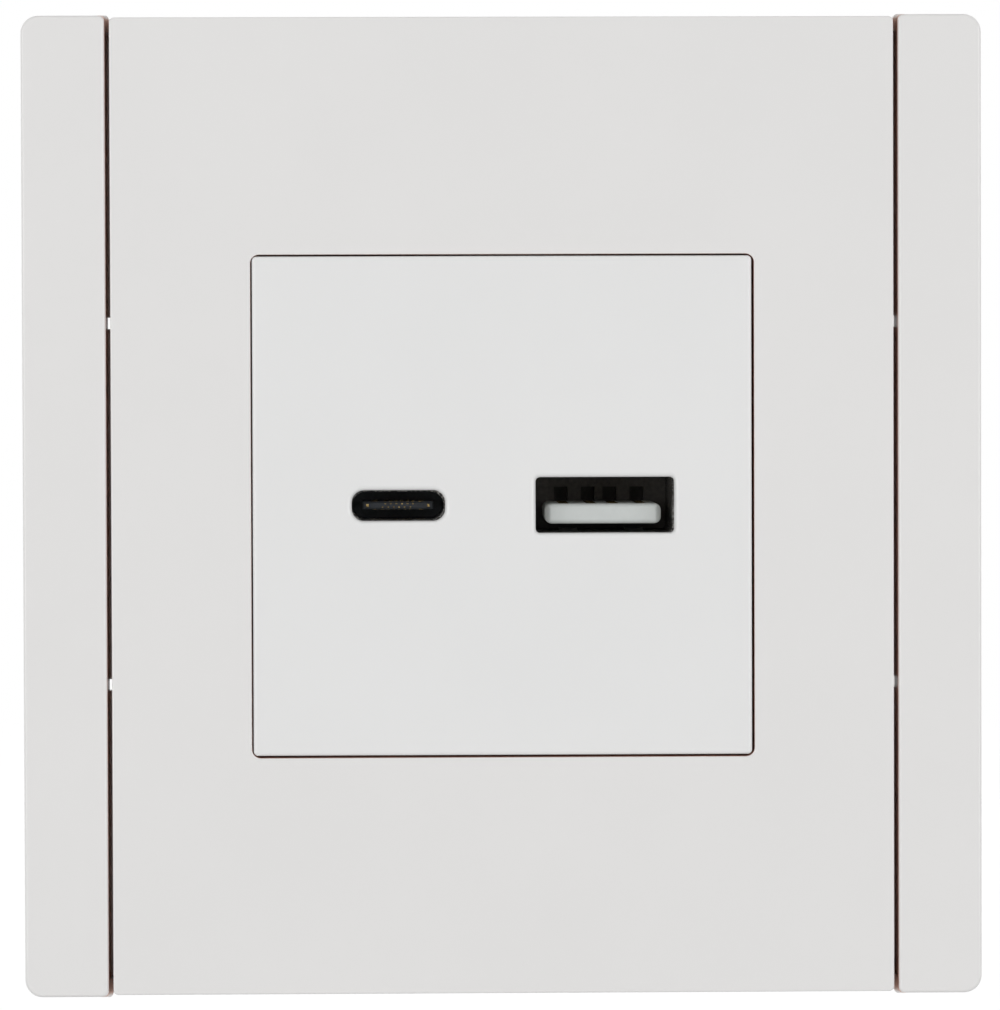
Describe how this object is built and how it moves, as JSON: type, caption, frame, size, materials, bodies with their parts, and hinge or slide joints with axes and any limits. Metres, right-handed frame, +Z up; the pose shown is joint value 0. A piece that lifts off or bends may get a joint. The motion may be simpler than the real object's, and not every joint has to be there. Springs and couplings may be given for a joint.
{
  "type": "usb wall socket",
  "caption": "Square white flush wall socket with one USB-C and one USB-A charging port in a centre cover, a frame with trim strips, support ring and charger housing with screw terminals.",
  "frame": {"origin": "centre of the horizontal pair of box-screw slots, on the wall plane at the back of the support ring", "axes": "+X to the right seen from the room, +Y into the wall, +Z up"},
  "size_m": [0.0864, 0.0383, 0.0884],
  "materials": {
    "white_plastic": "semi-gloss moulded thermoplastic",
    "cover_plastic": "semi-gloss moulded thermoplastic",
    "housing_plastic": "fine matt grey-white technical plastic",
    "ring_steel": "zinc-plated sheet steel",
    "shell_steel": "nickel-plated sheet steel",
    "black_plastic": "matt black insulator",
    "port_insulator": "matt blue-black insulator",
    "tongue_plastic": "matt white insulator",
    "gold_contact": "gold-flashed contact alloy",
    "terminal_brass": "plain brass",
    "terminal_steel": "zinc-plated steel",
    "board_laminate": "green solder mask",
    "ferrite": "dark sintered ferrite",
    "winding_tape": "yellow winding tape",
    "capacitor_sleeve": "sleeved aluminium can",
    "disc_enamel": "blue enamelled ceramic disc"
  },
  "bodies": {
    "socket_body": {"frame_plate": "white_plastic", "right_trim_strip": "white_plastic", "left_trim_strip": "white_plastic", "centre_cover": "cover_plastic", "support_ring": "ring_steel", "front_housing": "housing_plastic", "rear_housing": "housing_plastic", "port_board": "board_laminate", "main_board": "board_laminate", "link_header": "black_plastic", "link_pins": "gold_contact", "usb_a_shell": "shell_steel", "usb_a_base": "black_plastic", "usb_a_tongue": "tongue_plastic", "usb_a_contacts": "gold_contact", "usb_c_shell": "shell_steel", "usb_c_insulator": "port_insulator", "usb_c_contacts": "gold_contact", "line_busbar": "terminal_brass", "neutral_busbar": "terminal_brass", "transformer_core": "ferrite", "transformer_bobbin": "black_plastic", "transformer_winding": "winding_tape", "bulk_capacitors": "capacitor_sleeve", "output_capacitors": "capacitor_sleeve", "output_choke": "ferrite", "fuse": "black_plastic", "safety_capacitor": "disc_enamel", "bridge_rectifier": "black_plastic", "power_switch": "black_plastic", "port_controller": "black_plastic"},
    "line_screw": {"line_screw": "terminal_steel"},
    "neutral_screw": {"neutral_screw": "terminal_steel"},
    "line_clamp": {"line_clamp": "terminal_steel"},
    "neutral_clamp": {"neutral_clamp": "terminal_steel"}
  },
  "joints": [
    {"name": "line_screw_turn", "type": "hinge", "parent": "socket_body", "child": "line_screw", "pos_m": [-0.007, 0.0231, -0.017], "axis": [0, -1, 0], "range_deg": [0, 1728]},
    {"name": "line_clamp_rise", "type": "slide", "parent": "socket_body", "child": "line_clamp", "axis": [0, 1, 0], "range_m": [0, 0.0024]},
    {"name": "neutral_screw_turn", "type": "hinge", "parent": "socket_body", "child": "neutral_screw", "pos_m": [0.007, 0.0231, -0.017], "axis": [0, -1, 0], "range_deg": [0, 1728]},
    {"name": "neutral_clamp_rise", "type": "slide", "parent": "socket_body", "child": "neutral_clamp", "axis": [0, 1, 0], "range_m": [0, 0.0024]}
  ],
  "couplings": [
    {"joint": "line_screw_turn", "follows": "line_clamp_rise", "rad_per_m": 12566},
    {"joint": "neutral_screw_turn", "follows": "neutral_clamp_rise", "rad_per_m": 12566}
  ]
}
